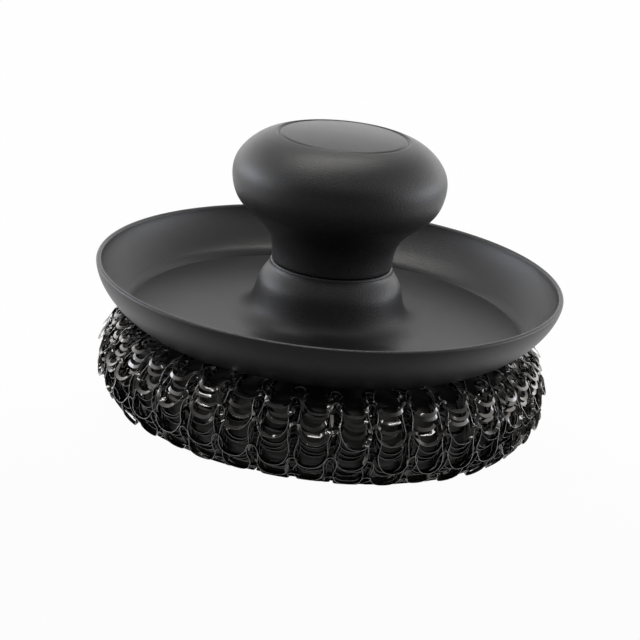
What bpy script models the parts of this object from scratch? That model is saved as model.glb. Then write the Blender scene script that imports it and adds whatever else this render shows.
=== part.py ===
# Griddle brush: a palm knob on a splash tray, over a doughnut of knitted steel ribbon.
# Units are metres and +Z is up. The pad stands on Z = 0 and everything is centred on the Z axis.
# The knob unscrews: its bolt turns in the insert of the pad's retainer and rises by the thread's pitch.

import math

import bmesh
import bpy
from mathutils import Matrix, Vector

# Fits
SEAT_GAP = 0.0003  # between two pieces that touch
RUNNING_GAP = 0.0004  # round a piece that turns or slides in another

# Pad of knitted ribbon
PAD_RADIUS = 0.0632
PAD_THICKNESS = 0.0288  # working face to the top under the tray
PAD_WIDEST_HEIGHT = 0.0160
PAD_TOP_INSET = 0.0010  # the top starts to round off this far inside the edge of the tray's foot
PAD_LOWER_BULGE_START = 0.0400  # radius where the working face starts to round off
PAD_SHOULDER_RISE = 0.0022  # how far the upper bulge would climb above the flat top
PAD_FOOT_FLATTENING = 0.0005  # how much the lower bulge is flattened by standing on it
PAD_LOWER_CURVE = 2.15  # exponent of the lower bulge, 2 is a plain ellipse
PAD_INNER_FILLET = 0.0044
LAYER_THICKNESS = 0.0030  # one layer of the folded stocking
WALE_COUNT = 38  # upright columns of loops round the pad
WALE_DEPTH = 0.0014
COURSE_PITCH = 0.0075  # one row of loops to the next
COURSE_DEPTH = 0.0007
GATHER_WIRE = 0.0018  # diameter of the hoops in the stocking's edges
GATHER_HOLE_RADIUS = 0.0143  # inside of the hoops

# Retainer under the pad
RETAINER_RADIUS = 0.0190
RETAINER_THICKNESS = 0.0030
RETAINER_RECESS = 0.0095  # the disc's edge above the working face
RETAINER_CROWN = 0.0007  # how far the disc's middle stands lower than its edge
HUB_RADIUS = 0.0100
HUB_FILLET = 0.0015
HUB_FLOOR = 0.0035  # solid bottom of the hub's bore
KEY_THICKNESS = 0.0015
KEY_REACH = 0.0135  # radius of the keys that straddle the tray's ribs
KEY_LENGTH = 0.0100
KEY_COUNT = 3

# Thread insert and bolt, M8
BOLT_DIAMETER = 0.0080
BOLT_LENGTH = 0.0300
THREAD_PITCH = 0.00125
THREAD_DEPTH_SHARE = 0.64  # of the pitch, from the crest to the root that the tip is chamfered to
BOLT_HEAD_FLATS = 0.0130
BOLT_HEAD_HEIGHT = 0.0053
INSERT_RADIUS = 0.0056
INSERT_LENGTH = 0.0160
INSERT_SINK = 0.0005  # the insert's top below the hub's top
KNURL_GROOVE = 0.0006
KNURL_GROOVE_LENGTH = 0.0016
SHANK_INSET = 0.0001  # the plain shank stands in for the thread and is this much smaller in radius
PUSH_WASHER_RADIUS = 0.0083
PUSH_WASHER_THICKNESS = 0.0008
PUSH_WASHER_TEETH = 6
PUSH_WASHER_TOOTH = 0.0014
TOOTH_HALF_ANGLE = 0.30  # radians round the shank
TOOTH_FLANK_ANGLE = 0.06
KNOB_TURNS = 12  # from clamped to the top of its travel

# Tray
TRAY_RADIUS = 0.0651
TRAY_HEIGHT = 0.0154  # underside to the rim's top
TRAY_WALL = 0.0022
TRAY_RIM_WALL = 0.0014
TRAY_FOOT_RADIUS = 0.0520  # flat underside ends here
TRAY_FLARE = 1.6  # exponent of the outer wall's curve, 2 is a plain ellipse
TRAY_FLOOR_RADIUS = 0.0545
COVE_WIDTH = 0.0031
COVE_HEIGHT = 0.0024
BOSS_FOOT_RADIUS = 0.0340
BOSS_TOP_RADIUS = 0.0173
BOSS_HEIGHT = 0.0157  # floor to the land under the knob
BOSS_LIP = 0.0004
RIB_COUNT = 6
RIB_THICKNESS = 0.0020
RIB_INNER_RADIUS = 0.0110
RIB_FOOT_ANGLE = 8.0  # degrees that a rib's outer edge stops short of the boss's foot

# Knob
NECK_RADIUS = 0.01685
NECK_EDGE = 0.0004
KNOB_RADIUS = 0.0297
KNOB_WIDEST_HEIGHT = 0.0252  # above the knob's bottom face
KNOB_SHOULDER_HEIGHT = 0.0357  # the cap's opening above the bottom face
SHOULDER_CURVE = 1.62  # exponent of the shoulder, 2 is a plain ellipse
SHOULDER_START_ANGLE = 82.0  # degrees along the shoulder, where the opening's lip hands over to it
BELLY_CURVE = 2.3  # exponent of the underside
BELLY_DROP = 0.0118
BELLY_REACH = 0.0087
BELLY_END_ANGLE = 60.0  # degrees along the underside, where the neck's curve takes over
NECK_UPPER_HANDLE = 0.0085
NECK_LOWER_HANDLE = 0.0080
CAP_RADIUS = 0.01785
CAP_GAP = 0.00045
CAP_THICKNESS = 0.0025
CAP_CROWN = 0.0010
CROWN_SHARES = (0.35, 0.65, 0.85)  # of the cap's radius, where the crown has its points
CAP_EDGE = 0.0005
CAP_SKIRT_RADIUS = 0.0154
CAP_SKIRT_WALL = 0.0014
CAP_SKIRT_LENGTH = 0.0062
CAP_SLOT_WIDTH = 0.0030
CAP_SLOTS = 4
SNAP_BEAD = 0.0005
SNAP_HEIGHT = 0.0012
POCKET_FILLET = 0.0030
SOCKET_DEPTH = 0.0062
WEB_THICKNESS = 0.0074  # between the socket and the washer's recess
WASHER_RECESS = 0.0030
SEAL_RADIUS = 0.0130  # middle of the seal
SEAL_SECTION = 0.0022

# Finishes: colour, roughness and metallic
FINISHES = {
    "black_plastic": ((0.018, 0.018, 0.020), 0.45, 0.0),
    "grey_plastic": ((0.030, 0.030, 0.032), 0.55, 0.0),
    "knitted_steel": ((0.085, 0.080, 0.075), 0.30, 1.0),
    "bright_steel": ((0.55, 0.55, 0.56), 0.30, 1.0),
    "brass": ((0.60, 0.42, 0.16), 0.35, 1.0),
    "black_rubber": ((0.012, 0.012, 0.012), 0.60, 0.0),
}

# Fineness of the turned surfaces
TRAY_STEPS = 42
KNOB_STEPS = 36
SMALL_STEPS = 24
STEPS_PER_WALE = 2
SLEEVE_ROWS = 8  # points on each bulge of the sleeve's outside
PLAIN_ROWS = 5  # and on the layers inside it
WALL_ROWS = 5  # up the inside of the tray's wall
LONG_CURVE_POINTS = 8
SHORT_CURVE_POINTS = 6
HALF_ROUND_POINTS = 7
FILLET_POINTS = 4
EDGE_POINTS = 3
RING_SIDES = 8  # round the section of a hoop or seal
MERGE_DISTANCE = 0.00001
SHARP_ANGLE = math.radians(35)
CUT_MARGIN = 0.0010  # how far a cutter runs past what it cuts

# Levels that follow from the sizes above
PAD_SEAT = RETAINER_RECESS + RETAINER_THICKNESS + SEAT_GAP
PAD_UPPER_BULGE_START = TRAY_FOOT_RADIUS - PAD_TOP_INSET
TRAY_LEVEL = PAD_THICKNESS + SEAT_GAP
TRAY_FLOOR = TRAY_LEVEL + TRAY_WALL
TRAY_RIM = TRAY_LEVEL + TRAY_HEIGHT
LAND_LEVEL = TRAY_FLOOR + BOSS_HEIGHT
CEILING_LEVEL = LAND_LEVEL - TRAY_WALL
HUB_TOP = CEILING_LEVEL - SEAT_GAP
INSERT_TOP = HUB_TOP - INSERT_SINK
INSERT_BOTTOM = INSERT_TOP - INSERT_LENGTH
KNOB_LEVEL = LAND_LEVEL + SEAT_GAP
SOCKET_FLOOR = KNOB_LEVEL + WASHER_RECESS + WEB_THICKNESS
POCKET_FLOOR = SOCKET_FLOOR + SOCKET_DEPTH
HEAD_SEAT = SOCKET_FLOOR + SEAT_GAP
CAP_OPENING_RADIUS = CAP_RADIUS + CAP_GAP
CAP_TOP_EDGE = KNOB_LEVEL + KNOB_SHOULDER_HEIGHT
CAP_SEAT = CAP_TOP_EDGE - CAP_THICKNESS
POCKET_RADIUS = CAP_SKIRT_RADIUS + SEAT_GAP
PAD_HOLE_RADIUS = RETAINER_RADIUS + SEAT_GAP
GATHER_RADIUS = GATHER_HOLE_RADIUS + GATHER_WIRE / 2
STOCKING_EDGE_RADIUS = GATHER_HOLE_RADIUS + GATHER_WIRE + SEAT_GAP
SHANK_RADIUS = BOLT_DIAMETER / 2 - SHANK_INSET
BORE_RADIUS = BOLT_DIAMETER / 2 + RUNNING_GAP


def clear_scene():
    for old in list(bpy.data.objects):
        bpy.data.objects.remove(old, do_unlink=True)


def make_collection(name):
    collection = bpy.data.collections.new(name)
    bpy.context.scene.collection.children.link(collection)
    return collection


def make_material(name, colour, roughness, metallic):
    material = bpy.data.materials.new(name)
    material.use_nodes = True
    shader = material.node_tree.nodes["Principled BSDF"]
    shader.inputs["Base Color"].default_value = (*colour, 1.0)
    shader.inputs["Roughness"].default_value = roughness
    shader.inputs["Metallic"].default_value = metallic
    return material


def arc(centre, radii, start, end, count, power=2.0):
    # Points on an ellipse, or on a superellipse of another power, from start to end in degrees
    points = []
    for index in range(count):
        angle = math.radians(start + (end - start) * index / (count - 1))
        across, up = math.cos(angle), math.sin(angle)
        x = centre[0] + radii[0] * math.copysign(abs(across) ** (2 / power), across)
        z = centre[1] + radii[1] * math.copysign(abs(up) ** (2 / power), up)
        points.append((x, z))
    return points


def bezier(first, second, third, fourth, count):
    points = []
    for index in range(count):
        t = index / (count - 1)
        weights = ((1 - t) ** 3, 3 * t * (1 - t) ** 2, 3 * t * t * (1 - t), t**3)
        corners = (first, second, third, fourth)
        x = sum(w * p[0] for w, p in zip(weights, corners))
        z = sum(w * p[1] for w, p in zip(weights, corners))
        points.append((x, z))
    return points


def evaluated_mesh(thing):
    graph = bpy.context.evaluated_depsgraph_get()
    return bpy.data.meshes.new_from_object(thing.evaluated_get(graph))


def smooth(mesh):
    mesh.shade_smooth()
    mesh.set_sharp_from_angle(angle=SHARP_ANGLE)


def add_object(name, mesh, collection, material=None, level=0.0, parent=None):
    thing = bpy.data.objects.new(name, mesh)
    collection.objects.link(thing)
    thing.location.z = level
    if material:
        mesh.materials.clear()
        mesh.materials.append(material)
    if parent:
        thing.parent = parent
        thing.matrix_parent_inverse = parent.matrix_world.inverted()
    return thing


def turned(name, profile, steps, collection, closed=True, weights=None):
    # A turned body. The profile is (radius, height) and runs down the outer side.
    edges = [(i, i + 1) for i in range(len(profile) - 1)]
    if closed:
        edges.append((len(profile) - 1, 0))
    mesh = bpy.data.meshes.new(name)
    mesh.from_pydata([(radius, 0.0, height) for radius, height in profile], edges, [])
    thing = add_object(name, mesh, collection)
    if weights:
        group = thing.vertex_groups.new(name="relief")
        for index, weight in enumerate(weights):
            group.add([index], weight, "REPLACE")
    screw = thing.modifiers.new("turn", "SCREW")
    screw.axis = "Z"
    screw.angle = math.tau
    screw.steps = steps
    screw.render_steps = steps
    screw.use_merge_vertices = True
    screw.merge_threshold = MERGE_DISTANCE
    return thing


def finish(thing, material, level=0.0, parent=None):
    # Applies the modifiers, shades the mesh and puts the piece's origin at its own level on the axis
    mesh = evaluated_mesh(thing)
    for modifier in list(thing.modifiers):
        thing.modifiers.remove(modifier)
    mesh.transform(Matrix.Translation((0.0, 0.0, -level)))
    smooth(mesh)
    mesh.materials.clear()
    mesh.materials.append(material)
    mesh.name = thing.name
    thing.data = mesh
    thing.location.z = level
    if parent:
        bpy.context.view_layer.update()
        thing.parent = parent
        thing.matrix_parent_inverse = parent.matrix_world.inverted()
    return thing


def combine(target, tool, operation):
    boolean = target.modifiers.new(tool.name, "BOOLEAN")
    boolean.operation = operation
    boolean.solver = "EXACT"
    boolean.object = tool


def as_cutter(thing):
    thing.hide_render = True
    thing.display_type = "WIRE"
    return thing


def fins(name, outline, thickness, angles, offsets, collection):
    # Flat plates standing in planes through the axis, one for each angle and sideways offset
    form = bmesh.new()
    for angle in angles:
        for offset in offsets:
            side = offset - thickness / 2
            corners = [form.verts.new((x, side, z)) for x, z in outline]
            face = form.faces.new(corners)
            grown = bmesh.ops.extrude_face_region(form, geom=[face])["geom"]
            moved = [item for item in grown if isinstance(item, bmesh.types.BMVert)]
            bmesh.ops.translate(form, verts=moved, vec=(0.0, thickness, 0.0))
            turn = Matrix.Rotation(angle, 3, "Z")
            bmesh.ops.rotate(form, verts=corners + moved, cent=(0, 0, 0), matrix=turn)
    bmesh.ops.recalc_face_normals(form, faces=form.faces)
    mesh = bpy.data.meshes.new(name)
    form.to_mesh(mesh)
    form.free()
    return as_cutter(add_object(name, mesh, collection))


def even_angles(count, start=0.0):
    return [start + math.tau * index / count for index in range(count)]


def tray_underside(radius):
    # Height of the tray's outside at a radius: the flat foot, then the flared wall
    reach = TRAY_RADIUS - TRAY_FOOT_RADIUS
    share = min(max((radius - TRAY_FOOT_RADIUS) / reach, 0.0), 1.0)
    rise = TRAY_HEIGHT - TRAY_RIM_WALL / 2
    return TRAY_LEVEL + rise * (1 - (1 - share**TRAY_FLARE) ** (1 / TRAY_FLARE))


def tray_profile():
    rim_centre = (TRAY_RADIUS - TRAY_RIM_WALL / 2, TRAY_RIM - TRAY_RIM_WALL / 2)
    wall_centre = (TRAY_FOOT_RADIUS, rim_centre[1])
    rise = rim_centre[1] - TRAY_LEVEL
    reach = TRAY_RADIUS - TRAY_FOOT_RADIUS
    cove_top = (TRAY_FLOOR_RADIUS + COVE_WIDTH, TRAY_FLOOR + COVE_HEIGHT)

    land = [(BORE_RADIUS, CEILING_LEVEL), (BORE_RADIUS, LAND_LEVEL)]
    lip_centre = (BOSS_TOP_RADIUS - BOSS_LIP, LAND_LEVEL - BOSS_LIP)
    land += arc(lip_centre, (BOSS_LIP, BOSS_LIP), 90, 0, EDGE_POINTS)
    boss_centre = (BOSS_FOOT_RADIUS, LAND_LEVEL - BOSS_LIP)
    boss_reach = BOSS_FOOT_RADIUS - BOSS_TOP_RADIUS
    boss_rise = BOSS_HEIGHT - BOSS_LIP
    boss = arc(boss_centre, (boss_reach, boss_rise), 180, 270, LONG_CURVE_POINTS)[1:]
    cove_centre = (TRAY_FLOOR_RADIUS, cove_top[1])
    cove = arc(cove_centre, (COVE_WIDTH, COVE_HEIGHT), -90, 0, FILLET_POINTS)

    inner_wall = []
    for index in range(1, WALL_ROWS + 1):
        share = index / WALL_ROWS
        height = cove_top[1] + (rim_centre[1] - cove_top[1]) * share
        fall = (rim_centre[1] - height) / rise
        outside = TRAY_FOOT_RADIUS + reach * (1 - fall**TRAY_FLARE) ** (1 / TRAY_FLARE)
        start = (rim_centre[1] - cove_top[1]) / rise
        start_outside = TRAY_FOOT_RADIUS + reach * (1 - start**TRAY_FLARE) ** (1 / TRAY_FLARE)
        wall = (start_outside - cove_top[0]) * (1 - share) + TRAY_RIM_WALL * share
        inner_wall.append((outside - wall, height))
    half_wall = TRAY_RIM_WALL / 2
    rim = arc(rim_centre, (half_wall, half_wall), 180, 0, HALF_ROUND_POINTS)[1:]
    outer_wall = arc(wall_centre, (reach, rise), 0, -90, LONG_CURVE_POINTS, TRAY_FLARE)[1:]

    hollow_reach = boss_reach + TRAY_WALL
    hollow_rise = boss_rise + TRAY_WALL
    ceiling_angle = math.degrees(math.asin((boss_centre[1] - CEILING_LEVEL) / hollow_rise))
    hollow = arc(boss_centre, (hollow_reach, hollow_rise), 270, 180 + ceiling_angle, SHORT_CURVE_POINTS)
    return land + boss + cove + inner_wall + rim + outer_wall + hollow


def make_tray(parts, cutters, material):
    tray = turned("tray", tray_profile(), TRAY_STEPS, parts)
    # Each rib fills the hollow boss from the hub's clearance to the middle of the boss's wall
    boss_centre = (BOSS_FOOT_RADIUS, LAND_LEVEL - BOSS_LIP)
    reach = BOSS_FOOT_RADIUS - BOSS_TOP_RADIUS + TRAY_WALL / 2
    rise = BOSS_HEIGHT - BOSS_LIP + TRAY_WALL / 2
    ceiling = LAND_LEVEL - TRAY_WALL / 2
    top_angle = math.degrees(math.asin((boss_centre[1] - ceiling) / rise))
    foot_angle = 270 - RIB_FOOT_ANGLE
    wall_side = arc(boss_centre, (reach, rise), foot_angle, 180 + top_angle, LONG_CURVE_POINTS)
    bottom = TRAY_LEVEL + SEAT_GAP
    outline = [(RIB_INNER_RADIUS, bottom), (wall_side[0][0] - TRAY_WALL, bottom)]
    outline += wall_side + [(RIB_INNER_RADIUS, ceiling)]
    ribs = fins("tray_ribs", outline, RIB_THICKNESS, even_angles(RIB_COUNT), [0.0], cutters)
    combine(tray, ribs, "UNION")
    return finish(tray, material, TRAY_LEVEL)


def pad_line(inset, lip, rows):
    # Half section of the pad's outside, moved inwards by inset: from the top's inner end, over the
    # upper bulge, the widest line and the working face, to the inner wall and, with lip, over the disc.
    # Each bulge has rows points.
    upper_reach = PAD_RADIUS - PAD_UPPER_BULGE_START - inset
    upper_rise = PAD_THICKNESS - PAD_WIDEST_HEIGHT + PAD_SHOULDER_RISE - inset
    lower_reach = PAD_RADIUS - PAD_LOWER_BULGE_START - inset
    lower_drop = PAD_WIDEST_HEIGHT + PAD_FOOT_FLATTENING - inset
    upper_middle = (PAD_UPPER_BULGE_START, PAD_WIDEST_HEIGHT)
    lower_middle = (PAD_LOWER_BULGE_START, PAD_WIDEST_HEIGHT)
    upper = arc(upper_middle, (upper_reach, upper_rise), 90, 0, rows)
    lower = arc(lower_middle, (lower_reach, -lower_drop), 0, 90, rows + 1, PAD_LOWER_CURVE)
    points = []
    for radius, height in upper:
        points.append((radius, min(height, tray_underside(radius) - SEAT_GAP - inset)))
    for radius, height in lower[1:]:
        points.append((radius, max(height, inset)))
    fillet = PAD_INNER_FILLET - inset
    middle = (PAD_HOLE_RADIUS + PAD_INNER_FILLET, PAD_INNER_FILLET)
    if fillet > 0:
        points += arc(middle, (fillet, fillet), 270, 180, FILLET_POINTS)
    else:
        points.append((PAD_HOLE_RADIUS + inset, inset))
    if lip:
        points.insert(0, (STOCKING_EDGE_RADIUS, PAD_THICKNESS - inset))
        points.append((PAD_HOLE_RADIUS + inset, PAD_SEAT + inset))
        points.append((STOCKING_EDGE_RADIUS, PAD_SEAT + inset))
    else:
        points.insert(0, (PAD_HOLE_RADIUS + inset, PAD_THICKNESS - inset))
    return points


def wale_relief(thing):
    # Sinks the sleeve's outside between the columns of loops and between their rows
    mesh = evaluated_mesh(thing)
    thing.modifiers.clear()
    depths = []
    for vertex in mesh.vertices:
        weight = sum(group.weight for group in vertex.groups)
        radius = math.hypot(vertex.co.x, vertex.co.y)
        around = math.atan2(vertex.co.y, vertex.co.x) * WALE_COUNT
        section = math.atan2(vertex.co.z - PAD_WIDEST_HEIGHT, radius - PAD_LOWER_BULGE_START)
        along = section * (PAD_RADIUS - PAD_LOWER_BULGE_START) / COURSE_PITCH * math.tau
        wale = WALE_DEPTH * (0.5 - 0.5 * math.cos(around))
        course = COURSE_DEPTH * (0.5 - 0.5 * math.cos(along + math.cos(around)))
        depths.append(weight * (wale + course))
    moves = [vertex.normal * -depth for vertex, depth in zip(mesh.vertices, depths)]
    for vertex, move in zip(mesh.vertices, moves):
        vertex.co += move
    thing.data = mesh
    thing.vertex_groups.clear()
    return thing


def make_pad(parts, material, steel):
    outside = pad_line(0.0, True, SLEEVE_ROWS)
    inside = pad_line(LAYER_THICKNESS, True, PLAIN_ROWS)[::-1]
    relief = []
    for radius, height in outside:
        free = radius > TRAY_FOOT_RADIUS and height > PAD_WIDEST_HEIGHT
        free = free or (radius > PAD_LOWER_BULGE_START and PAD_FOOT_FLATTENING < height <= PAD_WIDEST_HEIGHT)
        relief.append(1.0 if free else 0.0)
    relief += [0.0] * len(inside)
    steps = WALE_COUNT * STEPS_PER_WALE
    sleeve = wale_relief(turned("pad_sleeve", outside + inside, steps, parts, weights=relief))
    finish(sleeve, material)

    second = LAYER_THICKNESS + SEAT_GAP
    third = 2 * second
    lining_outside = pad_line(second, False, PLAIN_ROWS)
    lining_inside = pad_line(second + LAYER_THICKNESS, False, PLAIN_ROWS)[::-1]
    finish(turned("pad_lining", lining_outside + lining_inside, SMALL_STEPS, parts), material)
    finish(turned("pad_roll", pad_line(third, False, PLAIN_ROWS), SMALL_STEPS, parts), material)

    wire = GATHER_WIRE / 2
    levels = {
        "upper_gather_ring": PAD_THICKNESS - wire,
        "lower_gather_ring": PAD_SEAT + wire,
    }
    for name, level in levels.items():
        bpy.ops.mesh.primitive_torus_add(
            major_radius=GATHER_RADIUS,
            minor_radius=wire,
            major_segments=SMALL_STEPS,
            minor_segments=RING_SIDES,
            location=(0.0, 0.0, level),
        )
        place_primitive(name, parts, steel)


def place_primitive(name, collection, material, parent=None):
    thing = bpy.context.object
    for old in list(thing.users_collection):
        old.objects.unlink(thing)
    collection.objects.link(thing)
    thing.name = name
    thing.data.name = name
    thing.data.materials.append(material)
    smooth(thing.data)
    if parent:
        thing.parent = parent
        thing.matrix_parent_inverse = parent.matrix_world.inverted()
    return thing


def make_retainer(parts, cutters, plastic, brass):
    seat_radius = INSERT_RADIUS + SEAT_GAP
    insert_seat = INSERT_BOTTOM - SEAT_GAP
    edge = RETAINER_THICKNESS / 2
    bottom = RETAINER_RECESS
    profile = [(0.0, bottom + HUB_FLOOR), (BORE_RADIUS, bottom + HUB_FLOOR)]
    profile += [(BORE_RADIUS, insert_seat), (seat_radius, insert_seat), (seat_radius, HUB_TOP)]
    profile.append((HUB_RADIUS, HUB_TOP))
    fillet_centre = (HUB_RADIUS + HUB_FILLET, bottom + RETAINER_THICKNESS + HUB_FILLET)
    profile += arc(fillet_centre, (HUB_FILLET, HUB_FILLET), 180, 270, FILLET_POINTS)
    profile += arc((RETAINER_RADIUS - edge, bottom + edge), (edge, edge), 90, -90, HALF_ROUND_POINTS)
    profile += arc((0.0, bottom), (RETAINER_RADIUS - edge, -RETAINER_CROWN), 0, 90, SHORT_CURVE_POINTS)[1:]
    retainer = turned("pad_retainer", profile, KNOB_STEPS, parts, closed=False)

    # Pairs of keys straddle every second rib of the tray
    key_top = HUB_TOP - HUB_FILLET
    key_foot = key_top - KEY_LENGTH
    root = HUB_RADIUS - KEY_THICKNESS
    outline = [(root, key_foot), (KEY_REACH, key_foot + KEY_THICKNESS), (KEY_REACH, key_top), (root, key_top)]
    aside = RIB_THICKNESS / 2 + RUNNING_GAP + KEY_THICKNESS / 2
    keys = fins("hub_keys", outline, KEY_THICKNESS, even_angles(KEY_COUNT), [-aside, aside], cutters)
    combine(retainer, keys, "UNION")
    finish(retainer, plastic, RETAINER_RECESS)

    groove_low = INSERT_BOTTOM + (INSERT_LENGTH - KNURL_GROOVE_LENGTH) / 2
    groove_high = groove_low + KNURL_GROOVE_LENGTH
    waist = INSERT_RADIUS - KNURL_GROOVE
    insert_profile = [(BORE_RADIUS, INSERT_BOTTOM), (BORE_RADIUS, INSERT_TOP), (INSERT_RADIUS, INSERT_TOP)]
    insert_profile += [(INSERT_RADIUS, groove_high), (waist, groove_high), (waist, groove_low)]
    insert_profile += [(INSERT_RADIUS, groove_low), (INSERT_RADIUS, INSERT_BOTTOM)]
    insert = turned("retainer_insert", insert_profile, SMALL_STEPS, parts)
    finish(insert, brass, INSERT_BOTTOM)


def knob_profile():
    bottom = KNOB_LEVEL
    widest = bottom + KNOB_WIDEST_HEIGHT
    pocket = POCKET_RADIUS
    groove = POCKET_RADIUS + SNAP_BEAD
    snap_low = CAP_SEAT - CAP_SKIRT_LENGTH
    snap_high = snap_low + 2 * SNAP_HEIGHT

    # Up the bore and the pocket to the cap's seat
    recess = bottom + WASHER_RECESS
    points = [(PUSH_WASHER_RADIUS + SEAT_GAP, bottom), (PUSH_WASHER_RADIUS + SEAT_GAP, recess)]
    points += [(BORE_RADIUS, recess), (BORE_RADIUS, POCKET_FLOOR)]
    fillet_centre = (pocket - POCKET_FILLET, POCKET_FLOOR + POCKET_FILLET)
    points += arc(fillet_centre, (POCKET_FILLET, POCKET_FILLET), -90, 0, FILLET_POINTS)
    points += [(pocket, snap_low - SNAP_BEAD), (groove, snap_low), (groove, snap_high)]
    points += [(pocket, snap_high + SNAP_BEAD), (pocket, CAP_SEAT), (CAP_OPENING_RADIUS, CAP_SEAT)]

    # Down the outside: the opening's lip, the shoulder, the belly and the neck
    lip_centre = (CAP_OPENING_RADIUS + CAP_EDGE, CAP_TOP_EDGE - CAP_EDGE)
    points += arc(lip_centre, (CAP_EDGE, CAP_EDGE), 180, 90, FILLET_POINTS)[:-1]
    shoulder_centre = (CAP_OPENING_RADIUS, widest)
    shoulder_radii = (KNOB_RADIUS - CAP_OPENING_RADIUS, CAP_TOP_EDGE - widest)
    count = LONG_CURVE_POINTS
    points += arc(shoulder_centre, shoulder_radii, SHOULDER_START_ANGLE, 0, count, SHOULDER_CURVE)
    belly_centre = (KNOB_RADIUS - BELLY_REACH, widest)
    belly_radii = (BELLY_REACH, -BELLY_DROP)
    belly = arc(belly_centre, belly_radii, 0, BELLY_END_ANGLE, SHORT_CURVE_POINTS, BELLY_CURVE)[1:]
    points += belly
    slope = Vector((belly[-1][0] - belly[-2][0], belly[-1][1] - belly[-2][1])).normalized()
    start = belly[-1]
    handle = (start[0] + slope.x * NECK_UPPER_HANDLE, start[1] + slope.y * NECK_UPPER_HANDLE)
    end = (NECK_RADIUS, bottom + NECK_EDGE)
    points += bezier(start, handle, (end[0], end[1] + NECK_LOWER_HANDLE), end, LONG_CURVE_POINTS)[1:]
    edge_centre = (NECK_RADIUS - NECK_EDGE, bottom + NECK_EDGE)
    points += arc(edge_centre, (NECK_EDGE, NECK_EDGE), 0, -90, EDGE_POINTS)[1:]

    # Seal groove in the bottom face
    half = SEAL_SECTION / 2 + SEAT_GAP
    roof = bottom + SEAL_SECTION + SEAT_GAP
    points += [(SEAL_RADIUS + half, bottom), (SEAL_RADIUS + half, roof)]
    points += [(SEAL_RADIUS - half, roof), (SEAL_RADIUS - half, bottom)]
    return points


def hexagon_prism(name, flats, low, high, collection):
    radius = flats / math.sqrt(3)
    form = bmesh.new()
    bmesh.ops.create_cone(
        form,
        cap_ends=True,
        segments=6,
        radius1=radius,
        radius2=radius,
        depth=high - low,
        matrix=Matrix.Translation((0.0, 0.0, (low + high) / 2)),
    )
    mesh = bpy.data.meshes.new(name)
    form.to_mesh(mesh)
    form.free()
    return add_object(name, mesh, collection)


def make_knob(parts, cutters, plastic, parent):
    knob = turned("knob", knob_profile(), KNOB_STEPS, parts)
    socket_flats = BOLT_HEAD_FLATS + 2 * SEAT_GAP
    socket = hexagon_prism("head_socket", socket_flats, SOCKET_FLOOR, POCKET_FLOOR + CUT_MARGIN, cutters)
    combine(knob, as_cutter(socket), "DIFFERENCE")
    return finish(knob, plastic, KNOB_LEVEL, parent)


def make_cap(parts, cutters, plastic, parent):
    seat = CAP_SEAT + SEAT_GAP
    top = CAP_TOP_EDGE
    under = seat + CAP_EDGE
    skirt_end = seat - CAP_SKIRT_LENGTH
    inner = CAP_SKIRT_RADIUS - CAP_SKIRT_WALL
    profile = [(0.0, top + CAP_CROWN)]
    for share in CROWN_SHARES:
        profile.append((share * (CAP_RADIUS - CAP_EDGE), top + CAP_CROWN * (1 - share**2)))
    profile += arc((CAP_RADIUS - CAP_EDGE, top - CAP_EDGE), (CAP_EDGE, CAP_EDGE), 90, 0, FILLET_POINTS)
    profile += [(CAP_RADIUS, seat), (CAP_SKIRT_RADIUS, seat)]
    bead_low = skirt_end + SNAP_BEAD
    bead_high = bead_low + SNAP_HEIGHT
    bead = CAP_SKIRT_RADIUS + SNAP_BEAD
    profile += [(CAP_SKIRT_RADIUS, bead_high + SNAP_BEAD), (bead, bead_high), (bead, bead_low)]
    profile += [(CAP_SKIRT_RADIUS, skirt_end), (inner, skirt_end), (inner, under), (0.0, under)]
    cap = turned("knob_cap", profile, KNOB_STEPS, parts, closed=False)

    outline = [(inner - CUT_MARGIN, skirt_end - CUT_MARGIN), (bead + CUT_MARGIN, skirt_end - CUT_MARGIN)]
    outline += [(bead + CUT_MARGIN, seat - SNAP_BEAD), (inner - CUT_MARGIN, seat - SNAP_BEAD)]
    slots = fins("skirt_slots", outline, CAP_SLOT_WIDTH, even_angles(CAP_SLOTS), [0.0], cutters)
    combine(cap, slots, "DIFFERENCE")
    return finish(cap, plastic, CAP_SEAT, parent)


def make_bolt(parts, cutters, steel, parent):
    tip = HEAD_SEAT - BOLT_LENGTH
    chamfer = THREAD_PITCH * THREAD_DEPTH_SHARE
    profile = [(0.0, HEAD_SEAT + BOLT_HEAD_HEIGHT / 2), (SHANK_RADIUS, HEAD_SEAT + BOLT_HEAD_HEIGHT / 2)]
    profile += [(SHANK_RADIUS, tip + chamfer), (SHANK_RADIUS - chamfer, tip), (0.0, tip)]
    bolt = turned("knob_bolt", profile, SMALL_STEPS, parts, closed=False)
    head_top = HEAD_SEAT + BOLT_HEAD_HEIGHT
    head = hexagon_prism("bolt_head", BOLT_HEAD_FLATS, HEAD_SEAT, head_top, cutters)
    combine(bolt, as_cutter(head), "UNION")
    return finish(bolt, steel, HEAD_SEAT, parent)


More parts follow.
